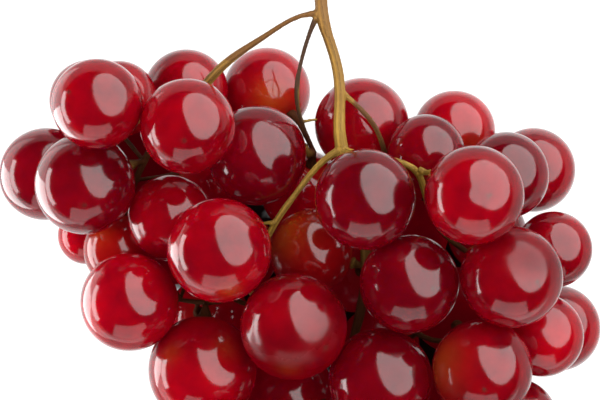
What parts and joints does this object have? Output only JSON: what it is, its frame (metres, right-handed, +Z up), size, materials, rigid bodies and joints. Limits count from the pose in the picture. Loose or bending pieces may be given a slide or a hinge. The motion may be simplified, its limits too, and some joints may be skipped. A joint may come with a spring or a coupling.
{
  "type": "bunch of grapes",
  "caption": "Bunch of round red table grapes lying on its back, berries crowded around a branching stem whose bare end stands clear of the fruit.",
  "frame": {"origin": "on the surface that the bunch lies on, under the middle of the bunch", "axes": "+Z up from the surface, +Y from the tip of the bunch to the cut end of its stem, +X across the bunch to the right seen from above"},
  "size_m": [0.1372, 0.1598, 0.0663],
  "materials": {
    "crimson_skin": "glossy, slightly translucent crimson fruit skin",
    "dark_skin": "glossy dark wine-red fruit skin",
    "amber_skin": "glossy amber-brown to red fruit skin",
    "stem": "matt olive-tan stem with fine lengthwise streaks"
  },
  "bodies": {
    "root": {"left_berry_01": "crimson_skin", "left_berry_02": "crimson_skin", "left_berry_03": "crimson_skin", "left_berry_04": "amber_skin", "left_berry_05": "crimson_skin", "left_berry_06": "crimson_skin", "left_shoulder_berry_01": "crimson_skin", "left_shoulder_berry_02": "crimson_skin", "left_shoulder_berry_03": "crimson_skin", "left_shoulder_berry_04": "crimson_skin", "left_shoulder_berry_05": "dark_skin", "left_shoulder_berry_06": "dark_skin", "left_shoulder_berry_07": "crimson_skin", "left_shoulder_berry_08": "crimson_skin", "left_shoulder_berry_09": "amber_skin", "left_shoulder_berry_10": "crimson_skin", "lower_right_berry_01": "crimson_skin", "lower_right_berry_02": "dark_skin", "lower_right_berry_03": "crimson_skin", "lower_right_berry_04": "crimson_skin", "lower_right_berry_05": "crimson_skin", "lower_right_berry_06": "crimson_skin", "middle_berry_01": "crimson_skin", "middle_berry_02": "dark_skin", "middle_berry_03": "crimson_skin", "rachis": "stem", "right_berry_01": "dark_skin", "right_berry_02": "crimson_skin", "right_berry_03": "crimson_skin", "right_berry_04": "crimson_skin", "right_berry_05": "dark_skin", "right_shoulder_berry_01": "crimson_skin", "right_shoulder_berry_02": "crimson_skin", "right_shoulder_berry_03": "dark_skin", "right_shoulder_berry_04": "dark_skin", "right_shoulder_berry_05": "crimson_skin", "tip_berry_01": "dark_skin", "tip_berry_02": "crimson_skin", "tip_berry_03": "crimson_skin", "tip_berry_04": "crimson_skin", "tip_berry_05": "crimson_skin", "tip_berry_06": "crimson_skin", "underside_berry_01": "crimson_skin", "underside_berry_02": "crimson_skin", "underside_berry_03": "crimson_skin", "underside_berry_04": "crimson_skin", "underside_berry_05": "dark_skin", "underside_berry_06": "crimson_skin", "underside_berry_07": "crimson_skin", "underside_berry_08": "crimson_skin", "underside_berry_09": "crimson_skin", "underside_berry_10": "crimson_skin", "underside_berry_11": "crimson_skin", "underside_berry_12": "crimson_skin", "underside_berry_13": "crimson_skin", "underside_berry_14": "crimson_skin", "underside_berry_15": "crimson_skin", "underside_berry_16": "crimson_skin", "underside_berry_17": "crimson_skin", "underside_berry_18": "crimson_skin"}
  },
  "joints": []
}
